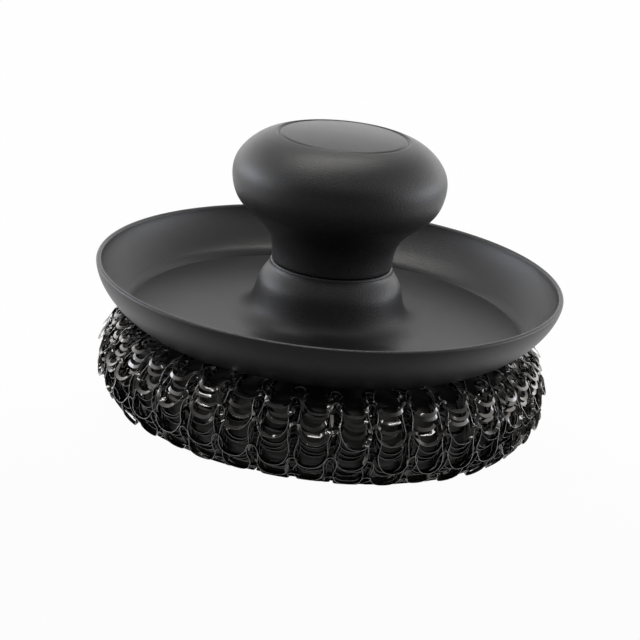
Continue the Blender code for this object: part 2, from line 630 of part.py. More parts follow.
def make_push_washer(parts, steel, parent):
    # A flat ring whose inner edge has teeth that bite on the shank
    middle = KNOB_LEVEL + WASHER_RECESS - SEAT_GAP - PUSH_WASHER_THICKNESS / 2
    tip = SHANK_RADIUS + SEAT_GAP
    curve = bpy.data.curves.new("bolt_retainer", "CURVE")
    curve.dimensions = "2D"
    curve.fill_mode = "BOTH"
    curve.extrude = PUSH_WASHER_THICKNESS / 2
    rim = [(PUSH_WASHER_RADIUS, angle) for angle in even_angles(SMALL_STEPS)]
    teeth = []
    slot = TOOTH_HALF_ANGLE + TOOTH_FLANK_ANGLE
    for angle in even_angles(PUSH_WASHER_TEETH):
        for share in (-1.0, 0.0, 1.0):
            teeth.append((tip, angle + share * TOOTH_HALF_ANGLE))
        teeth.append((tip + PUSH_WASHER_TOOTH, angle + slot))
        teeth.append((tip + PUSH_WASHER_TOOTH, angle + math.tau / PUSH_WASHER_TEETH - slot))
    for ring in (rim, teeth):
        spline = curve.splines.new("POLY")
        spline.points.add(len(ring) - 1)
        for point, (radius, angle) in zip(spline.points, ring):
            point.co = (radius * math.cos(angle), radius * math.sin(angle), 0.0, 1.0)
        spline.use_cyclic_u = True
    guide = bpy.data.objects.new("bolt_retainer_outline", curve)
    bpy.context.scene.collection.objects.link(guide)
    mesh = evaluated_mesh(guide)
    bpy.data.objects.remove(guide)
    form = bmesh.new()
    form.from_mesh(mesh)
    bmesh.ops.remove_doubles(form, verts=form.verts, dist=MERGE_DISTANCE)
    form.to_mesh(mesh)
    form.free()
    smooth(mesh)
    return add_object("bolt_retainer", mesh, parts, steel, middle, parent)


def make_seal(parts, rubber, parent):
    bpy.ops.mesh.primitive_torus_add(
        major_radius=SEAL_RADIUS,
        minor_radius=SEAL_SECTION / 2,
        major_segments=SMALL_STEPS,
        minor_segments=RING_SIDES,
        location=(0.0, 0.0, KNOB_LEVEL + SEAL_SECTION / 2),
    )
    return place_primitive("neck_seal", parts, rubber, parent)


def make_axis(name, level, collection, parent=None):
    empty = bpy.data.objects.new(name, None)
    collection.objects.link(empty)
    empty.empty_display_size = HUB_RADIUS
    empty.location.z = level
    bpy.context.view_layer.update()
    if parent:
        empty.parent = parent
        empty.matrix_parent_inverse = parent.matrix_world.inverted()
        bpy.context.view_layer.update()
    return empty


def main():
    clear_scene()
    parts = make_collection("griddle_brush")
    cutters = make_collection("griddle_brush_cutters")
    finishes = {name: make_material(name, *values) for name, values in FINISHES.items()}
    black = finishes["black_plastic"]
    steel = finishes["bright_steel"]

    # The knob's lift carries the seal, and the knob turns on that lift
    lift_axis = make_axis("knob_lift_axis", LAND_LEVEL, parts)
    turn_axis = make_axis("knob_turn_axis", KNOB_LEVEL, parts, lift_axis)

    make_tray(parts, cutters, black)
    make_pad(parts, finishes["knitted_steel"], steel)
    make_retainer(parts, cutters, finishes["grey_plastic"], finishes["brass"])
    make_seal(parts, finishes["black_rubber"], lift_axis)
    make_knob(parts, cutters, black, turn_axis)
    make_cap(parts, cutters, black, turn_axis)
    make_bolt(parts, cutters, steel, turn_axis)
    make_push_washer(parts, steel, turn_axis)

    lift = KNOB_TURNS * THREAD_PITCH
    print(f"{KNOB_TURNS} turns of the knob lift it {lift * 1000:.2f} mm")


main()
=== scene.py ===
import math

import bmesh
import bpy
import numpy as np
from mathutils import Matrix, Vector


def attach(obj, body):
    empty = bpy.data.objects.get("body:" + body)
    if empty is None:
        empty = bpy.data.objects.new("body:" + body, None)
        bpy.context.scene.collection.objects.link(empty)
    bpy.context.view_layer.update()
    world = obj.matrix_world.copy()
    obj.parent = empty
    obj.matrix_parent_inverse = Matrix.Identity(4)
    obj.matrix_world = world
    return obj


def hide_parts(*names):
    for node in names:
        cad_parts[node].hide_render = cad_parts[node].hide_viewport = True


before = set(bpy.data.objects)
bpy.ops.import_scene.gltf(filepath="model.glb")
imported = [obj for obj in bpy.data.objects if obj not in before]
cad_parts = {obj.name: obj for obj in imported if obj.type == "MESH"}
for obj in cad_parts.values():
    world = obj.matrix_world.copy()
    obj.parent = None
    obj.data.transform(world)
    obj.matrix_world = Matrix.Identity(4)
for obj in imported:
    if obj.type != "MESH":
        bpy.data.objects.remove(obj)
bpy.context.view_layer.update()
mm = 0.001
print("frame loaded:", len(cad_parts), "solids")


# Outlines. Lengths are in millimetres until a mesh is made.

def ellipseArc(centre, radii, start, end, count, power=2.0):
    # a power above 2 squares the ellipse, below 2 pinches it
    points = []
    for angle in np.radians(np.linspace(start, end, count)):
        across, up = math.cos(angle), math.sin(angle)
        x = centre[0] + radii[0] * math.copysign(abs(across) ** (2 / power), across)
        z = centre[1] + radii[1] * math.copysign(abs(up) ** (2 / power), up)
        points.append((x, z))
    return points


def bezierArc(first, second, third, fourth, count):
    t = np.linspace(0, 1, count)[:, None]
    corners = [np.array(p, float) for p in (first, second, third, fourth)]
    curve = (1 - t) ** 3 * corners[0] + 3 * t * (1 - t) ** 2 * corners[1]
    curve += 3 * t * t * (1 - t) * corners[2] + t**3 * corners[3]
    return [tuple(p) for p in curve]


def evenedLine(points, step, count):
    # spaces an outline's points evenly and averages neighbours, so that no bend in it is abrupt
    line = np.array(points, float)
    along = np.concatenate([[0], np.cumsum(np.hypot(*np.diff(line, axis=0).T))])
    even = np.linspace(0, along[-1], int(along[-1] / step) + 1)
    line = np.stack([np.interp(even, along, line[:, axis]) for axis in (0, 1)], 1)
    half = count // 2
    before = 2 * line[0] - line[half:0:-1]
    after = 2 * line[-1] - line[-2:-half - 2:-1]
    padded = np.concatenate([before, line, after])
    window = np.ones(count) / count
    line = np.stack([np.convolve(padded[:, axis], window, "valid") for axis in (0, 1)], 1)
    return [tuple(p) for p in line]


# Meshes

def smoothMesh(mesh, sharp=35):
    mesh.shade_smooth()
    mesh.set_sharp_from_angle(angle=math.radians(sharp))


def placePiece(name, mesh, materials, body, replaced=()):
    piece = bpy.data.objects.new(name, mesh)
    bpy.context.scene.collection.objects.link(piece)
    mesh.materials.clear()
    for material in materials:
        mesh.materials.append(material)
    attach(piece, body)
    if replaced:
        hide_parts(*replaced)
    return piece


def turnedMesh(name, outline, steps, closed=True, relief=None):
    # spins an outline of (radius, height); it runs down the outer side
    points = np.array(outline, float)
    rows = len(points)
    angles = np.linspace(0, math.tau, steps, endpoint=False)
    onAxis = points[:, 0] < 1e-6
    verts, index = [], np.zeros((rows, steps), int)
    for row, (radius, height) in enumerate(points):
        if onAxis[row]:
            index[row] = len(verts)
            verts.append((0.0, 0.0, height))
            continue
        index[row] = np.arange(steps) + len(verts)
        radii = np.full(steps, radius)
        heights = np.full(steps, height)
        if relief:
            radii, heights = relief(row, angles, radii, heights)
        verts += list(zip(radii * np.cos(angles), radii * np.sin(angles), heights))
    faces = []
    for row in range(rows if closed else rows - 1):
        upper, lower = index[row], index[(row + 1) % rows]
        for step in range(steps):
            after = (step + 1) % steps
            corners = [upper[step], lower[step], lower[after], upper[after]]
            corners = [c for i, c in enumerate(corners) if c != corners[i - 1]]
            if len(corners) > 2:
                faces.append(corners)
    mesh = bpy.data.meshes.new(name)
    mesh.from_pydata([(x * mm, y * mm, z * mm) for x, y, z in verts], [], faces)
    mesh.validate()
    return mesh


def joinedMesh(name, meshes):
    form = bmesh.new()
    for mesh in meshes:
        form.from_mesh(mesh)
    mesh = bpy.data.meshes.new(name)
    form.to_mesh(mesh)
    form.free()
    return mesh


def finMesh(outline, thickness, angle, offset=0.0):
    # an upright plate in a plane through the axis
    form = bmesh.new()
    side = offset - thickness / 2
    corners = [form.verts.new((x * mm, side * mm, z * mm)) for x, z in outline]
    face = form.faces.new(corners)
    grown = bmesh.ops.extrude_face_region(form, geom=[face])["geom"]
    moved = [item for item in grown if isinstance(item, bmesh.types.BMVert)]
    bmesh.ops.translate(form, verts=moved, vec=(0.0, thickness * mm, 0.0))
    turn = Matrix.Rotation(angle, 3, "Z")
    bmesh.ops.rotate(form, verts=form.verts, cent=(0, 0, 0), matrix=turn)
    bmesh.ops.recalc_face_normals(form, faces=form.faces)
    mesh = bpy.data.meshes.new("fin")
    form.to_mesh(mesh)
    form.free()
    return mesh


def booleanMesh(name, mesh, tools, operation):
    # joins or cuts with each tool in turn and returns a clean mesh
    work = bpy.data.objects.new(name, mesh)
    bpy.context.scene.collection.objects.link(work)
    helpers = []
    for tool in tools:
        helper = bpy.data.objects.new(name + "Tool", tool)
        bpy.context.scene.collection.objects.link(helper)
        helpers.append(helper)
        modifier = work.modifiers.new("join", "BOOLEAN")
        modifier.operation = operation
        modifier.solver = "EXACT"
        modifier.object = helper
    graph = bpy.context.evaluated_depsgraph_get()
    result = bpy.data.meshes.new_from_object(work.evaluated_get(graph))
    for thing in helpers + [work]:
        bpy.data.objects.remove(thing)
    result.name = name
    return result


# Shader helpers

def feedInputs(tree, node, inputs):
    for label, value in inputs.items():
        if isinstance(value, bpy.types.NodeSocket):
            tree.links.new(value, node.inputs[label])
        else:
            node.inputs[label].default_value = value


def addNode(tree, kind, inputs=None, **values):
    node = tree.nodes.new("ShaderNode" + kind)
    for key, value in values.items():
        setattr(node, key, value)
    feedInputs(tree, node, inputs or {})
    return node


def mathNode(tree, operation, first, second, clamp=False):
    inputs = {0: first, 1: second}
    return addNode(tree, "Math", inputs, operation=operation, use_clamp=clamp).outputs[0]


def rangeNode(tree, value, low, high, outLow, outHigh):
    inputs = {"Value": value, "From Min": low, "From Max": high, "To Min": outLow, "To Max": outHigh}
    return addNode(tree, "MapRange", inputs).outputs["Result"]


def noiseNode(tree, vector, scale, detail, roughness):
    inputs = {"Vector": vector, "Scale": scale, "Detail": detail, "Roughness": roughness}
    return addNode(tree, "TexNoise", inputs).outputs["Fac"]


def mixColours(tree, factor, first, second):
    colours = [(*value, 1.0) if isinstance(value, tuple) else value for value in (first, second)]
    return addNode(tree, "Mix", {0: factor, 6: colours[0], 7: colours[1]}, data_type="RGBA").outputs[2]


def bumpNode(tree, height, strength, distance):
    inputs = {"Strength": strength, "Distance": distance * mm, "Height": height}
    return addNode(tree, "Bump", inputs).outputs["Normal"]


def newGroup(name, inputs, outputs):
    # every input and output of these groups is a plain number
    group = bpy.data.node_groups.new(name, "ShaderNodeTree")
    for label, value in inputs.items():
        socket = group.interface.new_socket(label, in_out="INPUT", socket_type="NodeSocketFloat")
        socket.default_value = value
    for label in outputs:
        group.interface.new_socket(label, in_out="OUTPUT", socket_type="NodeSocketFloat")
    place = addNode(group, "TexCoord").outputs["Object"]
    return group, group.nodes.new("NodeGroupInput").outputs, group.nodes.new("NodeGroupOutput"), place


grain = {"smoothness": 0.7, "noiseScale": 1.7, "cellShare": 0.8, "wideShare": 0.6, "fineShare": 0.4}


def makeGrainGroup():
    # the spark-eroded grain that a mould leaves on matte plastic
    inputs = {"Grain Size": 0.35, "Mottle Size": 9.0, "Roughness": 0.45, "Spread": 0.08}
    group, start, end, place = newGroup("mould grain", inputs, ("Height", "Roughness", "Tone"))
    fineScale = mathNode(group, "DIVIDE", 1 / mm, start["Grain Size"])
    wideScale = mathNode(group, "DIVIDE", 1 / mm, start["Mottle Size"])
    cellInputs = {"Vector": place, "Scale": fineScale, "Smoothness": grain["smoothness"]}
    cells = addNode(group, "TexVoronoi", cellInputs, feature="SMOOTH_F1")
    fine = noiseNode(group, place, mathNode(group, "MULTIPLY", fineScale, grain["noiseScale"]), 3.0, 0.6)
    wide = noiseNode(group, place, wideScale, 4.0, 0.6)
    pits = mathNode(group, "MULTIPLY", cells.outputs["Distance"], grain["cellShare"])
    widePart = mathNode(group, "MULTIPLY", wide, grain["wideShare"])
    tone = mathNode(group, "ADD", widePart, mathNode(group, "MULTIPLY", fine, grain["fineShare"]))
    spread = mathNode(group, "MULTIPLY", start["Spread"], 2.0)
    swing = mathNode(group, "MULTIPLY", mathNode(group, "SUBTRACT", tone, 0.5), spread)
    roughness = mathNode(group, "ADD", start["Roughness"], swing, True)
    height = mathNode(group, "ADD", pits, fine)
    feedInputs(group, end, {"Height": height, "Roughness": roughness, "Tone": tone})
    return group


def makeEdgeGroup():
    # where corners are rubbed a little lighter by hands and washing up
    inputs = {"Low": 0.52, "High": 0.60, "Break-up Size": 1.2}
    group, start, end, place = newGroup("rubbed edges", inputs, ("Mask",))
    sharp = addNode(group, "NewGeometry").outputs["Pointiness"]
    patches = noiseNode(group, place, mathNode(group, "DIVIDE", 1 / mm, start["Break-up Size"]), 3.0, 0.65)
    edge = rangeNode(group, sharp, start["Low"], start["High"], 0.0, 1.0)
    feedInputs(group, end, {"Mask": mathNode(group, "MULTIPLY", edge, patches, True)})
    return group


def makeDrawnGroup():
    # fine lines and stains on rolled, drawn or plated metal
    inputs = {
        "Line Size": 0.10, "Line Length": 6.0, "Stain Size": 5.0, "Roughness": 0.25, "Spread": 0.12,
    }
    group, start, end, place = newGroup("drawn metal", inputs, ("Lines", "Roughness", "Stain"))
    across = mathNode(group, "DIVIDE", 1 / mm, start["Line Size"])
    along = mathNode(group, "DIVIDE", 1 / mm, start["Line Length"])
    squeeze = addNode(group, "CombineXYZ", {0: along, 1: along, 2: across}).outputs[0]
    stretched = addNode(group, "VectorMath", {0: place, 1: squeeze}, operation="MULTIPLY").outputs[0]
    lines = noiseNode(group, stretched, 1.0, 2.0, 0.6)
    stain = noiseNode(group, place, mathNode(group, "DIVIDE", 1 / mm, start["Stain Size"]), 3.0, 0.6)
    both = mathNode(group, "SUBTRACT", mathNode(group, "ADD", lines, stain), 1.0)
    swing = mathNode(group, "MULTIPLY", both, start["Spread"])
    roughness = mathNode(group, "ADD", start["Roughness"], swing, True)
    feedInputs(group, end, {"Lines": lines, "Roughness": roughness, "Stain": stain})
    return group


grainGroup = makeGrainGroup()
edgeGroup = makeEdgeGroup()
drawnGroup = makeDrawnGroup()


def newMaterial(name):
    material = bpy.data.materials.new(name)
    material.use_nodes = True
    return material, material.node_tree, material.node_tree.nodes["Principled BSDF"]


def mouldedPlastic(name, look):
    material, tree, shader = newMaterial(name)
    pattern = addNode(tree, "Group", node_tree=grainGroup)
    feedInputs(tree, pattern, {
        "Grain Size": look["grainSize"],
        "Mottle Size": look["mottleSize"],
        "Roughness": look["roughness"],
        "Spread": look["spread"],
    })
    edges = addNode(tree, "Group", node_tree=edgeGroup)
    colour = mixColours(tree, pattern.outputs["Tone"], look["dark"], look["light"])
    wear = mathNode(tree, "MULTIPLY", edges.outputs["Mask"], look["wear"])
    feedInputs(tree, shader, {
        "Base Color": mixColours(tree, wear, colour, look["rubbed"]),
        "Roughness": pattern.outputs["Roughness"],
        "Normal": bumpNode(tree, pattern.outputs["Height"], look["bump"], look["grainDepth"]),
        "Specular IOR Level": look["gloss"],
    })
    return material


def metalFinish(name, look):
    material, tree, shader = newMaterial(name)
    drawn = addNode(tree, "Group", node_tree=drawnGroup)
    feedInputs(tree, drawn, {
        "Line Size": look["lineSize"],
        "Line Length": look["lineLength"],
        "Stain Size": look["stainSize"],
        "Roughness": look["roughness"],
        "Spread": look["spread"],
    })
    feedInputs(tree, shader, {
        "Base Color": mixColours(tree, drawn.outputs["Stain"], look["dark"], look["light"]),
        "Roughness": drawn.outputs["Roughness"],
        "Normal": bumpNode(tree, drawn.outputs["Lines"], look["bump"], look["lineDepth"]),
        "Metallic": look["metallic"],
    })
    return material


blackLook = {
    "grainSize": 0.42, "grainDepth": 0.045, "bump": 1.0, "mottleSize": 14.0,
    "roughness": 0.42, "spread": 0.05, "gloss": 0.65, "wear": 0.35,
    "dark": (0.0170, 0.0167, 0.0176), "light": (0.0240, 0.0236, 0.0247), "rubbed": (0.055, 0.055, 0.057),
}
greyLook = dict(
    blackLook, roughness=0.52, grainSize=0.40, dark=(0.030, 0.030, 0.031), light=(0.042, 0.042, 0.043))
rubberLook = dict(blackLook, roughness=0.62, gloss=0.35, grainSize=0.18, wear=0.0)
steelLook = {
    "lineSize": 0.12, "lineLength": 4.0, "lineDepth": 0.010, "bump": 0.4, "stainSize": 3.0,
    "roughness": 0.28, "spread": 0.15, "metallic": 1.0,
    "dark": (0.42, 0.42, 0.43), "light": (0.60, 0.60, 0.61),
}
brassLook = dict(steelLook, dark=(0.52, 0.36, 0.14), light=(0.72, 0.52, 0.22), roughness=0.32)
ribbonLook = {
    "lineSize": 0.20, "lineLength": 1.5, "lineDepth": 0.006, "bump": 0.25, "stainSize": 2.5,
    "roughness": 0.09, "spread": 0.08, "metallic": 1.0,
    "dark": (0.095, 0.092, 0.089), "light": (0.220, 0.213, 0.207),
}
# the ribbons' edges: the same steel as the faces, with a rougher, less metallic finish, and a much lighter
# colour that is a painted highlight
paintedHighlightEdgeLook = dict(
    ribbonLook, roughness=0.50, metallic=0.35, dark=(0.62, 0.62, 0.62), light=(0.85, 0.85, 0.85))
# the inner ribbons' edges: the edges' painted highlight, painted darker again as shade deeper inside the pad
paintedShadeEdgeLook = dict(paintedHighlightEdgeLook, dark=(0.28, 0.28, 0.28), light=(0.52, 0.52, 0.52))
# the packed layers inside: the ribbons' steel, painted darker as shade within the pad
paintedShadeCoreLook = dict(
    ribbonLook, roughness=0.45, metallic=0.3, dark=(0.045, 0.043, 0.042), light=(0.110, 0.105, 0.101))

blackPlastic = mouldedPlastic("black plastic", blackLook)
greyPlastic = mouldedPlastic("grey plastic", greyLook)
blackRubber = mouldedPlastic("black rubber", rubberLook)
brightSteel = metalFinish("bright steel", steelLook)
brassMetal = metalFinish("brass", brassLook)
ribbonFace = metalFinish("ribbon face", ribbonLook)
paintedHighlightEdge = metalFinish("ribbon edge painted highlight", paintedHighlightEdgeLook)
paintedShadeEdge = metalFinish("deep edge painted shade", paintedShadeEdgeLook)
paintedShadeCoreSteel = metalFinish("packed ribbon painted shade", paintedShadeCoreLook)
print("finishes made")


# Tray: the dish, its boss and the ribs inside the boss

tray = {
    "radius": 65.1, "level": 29.1, "height": 15.4, "wall": 2.2, "rimWall": 1.4,
    "footRadius": 50.3, "flare": 1.55, "floorRadius": 54.0, "floorTurn": 48.0,
    "stepWidth": 2.2, "stepHeight": 2.2, "stepSlope": 26.0,
    "creaseHandle": (0.55, 1.0), "stepHandle": 0.9, "crestHandle": 0.8, "wallHandle": 1.6, "wallStart": 0.25,
    "bossTop": 17.1, "bossHeight": 15.7, "bossLip": 0.55, "bossFoot": 29.0,
    "bossFlank": (20.15, 40.6), "bossSlope": (0.25, 0.97),  # the side's middle and its slope there
    "bossHandles": (1.35, 2.9, 4.0, 7.6),  # at the top, above and below the middle, at the foot
    "boreRadius": 4.4, "boreEdge": 0.3,
    "ribs": 6, "ribThickness": 2.0, "ribInner": 11.0, "ribClearance": 0.3, "steps": 216,
}
trayFloor = tray["level"] + tray["wall"]
trayRim = tray["level"] + tray["height"]
landLevel = trayFloor + tray["bossHeight"]


def trayUnderside(radius):
    reach = tray["radius"] - tray["footRadius"]
    share = np.clip((np.asarray(radius, float) - tray["footRadius"]) / reach, 0, 1)
    rise = tray["height"] - tray["rimWall"] / 2
    return tray["level"] + rise * (1 - (1 - share ** tray["flare"]) ** (1 / tray["flare"]))


def bossFlank(inset, top, count):
    # the boss's side, moved inwards by inset: straight down at the top, then leaning out, then flaring
    topHandle, upperHandle, lowerHandle, footHandle = tray["bossHandles"]
    slope = np.array([tray["bossSlope"][0], -tray["bossSlope"][1]])
    side = np.array([slope[1], -slope[0]])
    middle = tray["bossFlank"] + inset * side
    start = np.array([tray["bossTop"] - inset, top])
    foot = np.array([tray["bossFoot"], trayFloor - inset])
    upper = bezierArc(start, start - (0, topHandle), middle - upperHandle * slope, middle, count)
    reach = (footHandle - inset / 2, 0)
    return upper + bezierArc(middle, middle + lowerHandle * slope, foot - reach, foot, count)[1:]


def makeTray():
    half = tray["rimWall"] / 2
    rimCentre = (tray["radius"] - half, trayRim - half)
    rise = rimCentre[1] - tray["level"]
    reach = tray["radius"] - tray["footRadius"]
    ceiling = landLevel - tray["wall"]
    lip = tray["bossLip"]
    bore = tray["boreRadius"]
    outline = [(bore, ceiling), (bore, landLevel - tray["boreEdge"]), (bore + tray["boreEdge"], landLevel)]
    outline += ellipseArc((tray["bossTop"] - lip, landLevel - lip), (lip, lip), 90, 0, 7)
    outline += bossFlank(0.0, landLevel - lip, 24)[1:]
    outline.append((tray["floorTurn"], trayFloor))
    # the step rises steeply from a crisp crease, eases off to its top and runs into the wall
    foot = np.array([tray["floorRadius"], trayFloor])
    edge = foot + (tray["stepWidth"], tray["stepHeight"])
    slope = np.array([1.0, math.tan(math.radians(tray["stepSlope"]))])
    outline += bezierArc(foot, foot + tray["creaseHandle"], edge - tray["stepHandle"] * slope, edge, 20)

    def outside(height):
        fall = (rimCentre[1] - height) / rise
        return tray["footRadius"] + reach * (1 - fall ** tray["flare"]) ** (1 / tray["flare"])

    inside = []
    for share in np.linspace(tray["wallStart"], 1, 16):
        height = edge[1] + (rimCentre[1] - edge[1]) * share
        wall = tray["wall"] * (1 - share) + tray["rimWall"] * share
        inside.append((outside(height) - wall, height))
    back = np.subtract(inside[0], inside[1]) * tray["wallHandle"]
    crest = edge + tray["crestHandle"] * slope
    outline += bezierArc(edge, crest, inside[0] + back, inside[0], 12)[1:] + inside[1:]
    outline += ellipseArc(rimCentre, (half, half), 180, 0, 13)[1:]
    outline += ellipseArc((tray["footRadius"], rimCentre[1]), (reach, rise), 0, -90, 28, tray["flare"])[1:]
    outline += bossFlank(tray["wall"], ceiling, 14)[::-1]
    shell = turnedMesh("tray", outline, tray["steps"])

    ribTop = landLevel - tray["wall"] / 2
    side = [point for point in bossFlank(tray["wall"] / 2, ribTop, 8) if point[1] > trayFloor][::-1]
    foot = tray["level"] + tray["ribClearance"]
    ribOutline = [(tray["ribInner"], foot), (side[0][0] - tray["wall"], foot)]
    ribOutline += side + [(tray["ribInner"], ribTop)]
    turns = [math.tau * i / tray["ribs"] for i in range(tray["ribs"])]
    fins = [finMesh(ribOutline, tray["ribThickness"], turn) for turn in turns]
    mesh = booleanMesh("trayBody", shell, [joinedMesh("ribs", fins)], "UNION")
    smoothMesh(mesh, 40)
    placePiece("trayBody", mesh, [blackPlastic], "base", ["tray"])


makeTray()
print("tray made")


# Knob, cap and seal

knob = {
    "level": 47.3, "neckRadius": 16.85, "neckEdge": 0.25, "radius": 29.7, "widest": 25.2, "shoulder": 35.7,
    "shoulderCurve": 1.62, "shoulderStart": 84.0, "bellyCurve": 2.3, "bellyDrop": 11.8, "bellyReach": 8.7,
    "bellyEnd": 60.0, "upperHandle": 8.5, "lowerHandle": 8.0, "openingRadius": 17.8, "openingEdge": 0.25,
    "grooveDepth": 0.5, "grooveHandle": (0.25, 0.07), "lipHandle": 0.3,
    "pocketRadius": 15.7, "pocketFloor": 63.9, "pocketFillet": 3.0, "boltHole": 4.4, "socketFloor": 57.7,
    "socketFlats": 13.6, "recess": 3.0, "washerRadius": 8.6,
    "capRadius": 17.78, "capThickness": 2.5, "capCrown": 1.0, "capEdge": 1.1, "capGap": 0.3,
    "skirtRadius": 15.4, "skirtWall": 1.4, "skirtLength": 6.2, "slotWidth": 3.0, "slots": 4,
    "bead": 0.5, "beadGroove": 2.4, "beadLevel": 1.7,
    "sealRadius": 13.0, "sealSection": 2.2, "sealGap": 0.3, "evenStep": 0.6, "evenCount": 9, "steps": 192,
}
cutMargin = 1.0  # how far a cutter runs past what it cuts
capTop = knob["level"] + knob["shoulder"]
capSeat = capTop - knob["capThickness"]


def makeKnob():
    bottom = knob["level"]
    widest = bottom + knob["widest"]
    pocket = knob["pocketRadius"]
    bead = knob["bead"]
    snapLow = capSeat - knob["skirtLength"]
    snapHigh = snapLow + knob["beadGroove"]
    recess = bottom + knob["recess"]
    fillet = knob["pocketFillet"]
    opening = knob["openingRadius"]
    outline = [(knob["washerRadius"], bottom), (knob["washerRadius"], recess), (knob["boltHole"], recess)]
    outline += [(knob["boltHole"], knob["pocketFloor"])]
    outline += ellipseArc((pocket - fillet, knob["pocketFloor"] + fillet), (fillet, fillet), -90, 0, 9)
    outline += [(pocket, snapLow - bead), (pocket + bead, snapLow), (pocket + bead, snapHigh)]
    outline += [(pocket, snapHigh + bead), (pocket, capSeat), (opening - knob["openingEdge"], capSeat)]
    outline += [(opening, capSeat + knob["openingEdge"])]
    shoulderRadii = (knob["radius"] - opening, capTop - widest)
    shoulderCentre = (opening, widest)
    shoulder = ellipseArc(shoulderCentre, shoulderRadii, knob["shoulderStart"], 0, 36, knob["shoulderCurve"])
    low = (opening, capTop - knob["grooveDepth"])
    above = np.add(low, knob["grooveHandle"])
    outline += bezierArc(low, above, np.subtract(shoulder[0], (knob["lipHandle"], 0)), shoulder[0], 8)[:-1]
    inner = len(outline)
    outline += shoulder
    bellyCentre = (knob["radius"] - knob["bellyReach"], widest)
    bellyRadii = (knob["bellyReach"], -knob["bellyDrop"])
    belly = ellipseArc(bellyCentre, bellyRadii, 0, knob["bellyEnd"], 22, knob["bellyCurve"])[1:]
    outline += belly
    slope = np.array(belly[-1]) - np.array(belly[-2])
    handle = np.array(belly[-1]) + slope / np.linalg.norm(slope) * knob["upperHandle"]
    neckEnd = (knob["neckRadius"], bottom + knob["neckEdge"])
    lower = (neckEnd[0], neckEnd[1] + knob["lowerHandle"])
    outline += bezierArc(belly[-1], handle, lower, neckEnd, 26)[1:]
    outline = outline[:inner] + evenedLine(outline[inner:], knob["evenStep"], knob["evenCount"])
    edge = knob["neckEdge"]
    outline += ellipseArc((knob["neckRadius"] - edge, bottom + edge), (edge, edge), 0, -90, 6)[1:]
    half = knob["sealSection"] / 2 + knob["sealGap"]
    roof = bottom + knob["sealSection"] + knob["sealGap"]
    outline += [(knob["sealRadius"] + half, bottom), (knob["sealRadius"] + half, roof)]
    outline += [(knob["sealRadius"] - half, roof), (knob["sealRadius"] - half, bottom)]
    shell = turnedMesh("knob", outline, knob["steps"])
    socket = hexagonMesh(knob["socketFlats"], knob["socketFloor"], knob["pocketFloor"] + cutMargin)
    mesh = booleanMesh("knobBody", shell, [socket], "DIFFERENCE")
    smoothMesh(mesh, 40)
    placePiece("knobBody", mesh, [blackPlastic], "knob_group", ["knob"])


def hexagonMesh(flats, low, high):
    form = bmesh.new()
    radius = flats / math.sqrt(3) * mm
    where = Matrix.Translation((0, 0, (low + high) / 2 * mm))
    size = (high - low) * mm
    bmesh.ops.create_cone(
        form, cap_ends=True, segments=6, radius1=radius, radius2=radius, depth=size, matrix=where)
    mesh = bpy.data.meshes.new("hexagon")
    form.to_mesh(mesh)
    form.free()
    return mesh


def makeCap():
    edge = knob["capEdge"]
    seat = capSeat + knob["capGap"]
    skirt = knob["skirtRadius"]
    inner = skirt - knob["skirtWall"]
    low = seat - knob["skirtLength"]
    bead = knob["bead"]
    outline = [(0.0, capTop + knob["capCrown"])]
    flat = knob["capRadius"] - edge
    for share in np.linspace(0, 1, 20)[1:-1]:
        outline.append((share * flat, capTop + knob["capCrown"] * (1 - share**2)))
    rim = (knob["capRadius"], capTop - knob["grooveDepth"])
    beside = np.add(rim, np.array(knob["grooveHandle"]) * (-1, 1))
    outline += bezierArc((flat, capTop), (flat + edge / 2, capTop), beside, rim, 9)
    beadTop = low + knob["beadLevel"]
    outline += [(knob["capRadius"], seat), (skirt, seat), (skirt, beadTop + bead), (skirt + bead, beadTop)]
    outline += [(skirt + bead, low + bead), (skirt, low), (inner, low)]
    outline += [(inner, seat + edge), (0.0, seat + edge)]
    shell = turnedMesh("cap", outline, knob["steps"], closed=False)
    near, far = inner - cutMargin, skirt + bead + cutMargin
    cut = [(near, low - cutMargin), (far, low - cutMargin), (far, seat - bead), (near, seat - bead)]
    turns = [math.tau * i / knob["slots"] for i in range(knob["slots"])]
    slots = [finMesh(cut, knob["slotWidth"], turn) for turn in turns]
    mesh = booleanMesh("capBody", shell, [joinedMesh("slots", slots)], "DIFFERENCE")
    smoothMesh(mesh, 40)
    placePiece("capBody", mesh, [blackPlastic], "knob_group", ["knob_cap"])


def ringMesh(name, radius, section, level, steps, sides):
    outline = ellipseArc((radius, level), (section / 2, section / 2), 180, -180, sides + 1)[:-1]
    mesh = turnedMesh(name, outline, steps)
    smoothMesh(mesh)
    return mesh


makeKnob()
makeCap()
sealLevel = knob["level"] + knob["sealSection"] / 2
sealMesh = ringMesh("sealRing", knob["sealRadius"], knob["sealSection"], sealLevel, 128, 20)
placePiece("sealRing", sealMesh, [blackRubber], "seal_carrier", ["neck_seal"])
print("knob, cap and seal made")


# Bolt with its thread, washer, insert and retainer

bolt = {
    "radius": 3.95, "root": 3.28, "pitch": 1.25, "length": 30.0, "steps": 64, "rowsPerTurn": 12,
    "crest": 0.14, "flank": 0.72,  # shares of half the pitch
    "tipInset": 0.2,  # the tip's chamfer starts this much inside the thread's root
    "headSeat": 58.0, "headHeight": 5.3, "headFlats": 13.0, "headChamfer": 30.0, "headFace": 0.95,
    "cornerMargin": 0.1, "headFoot": 0.4,
}


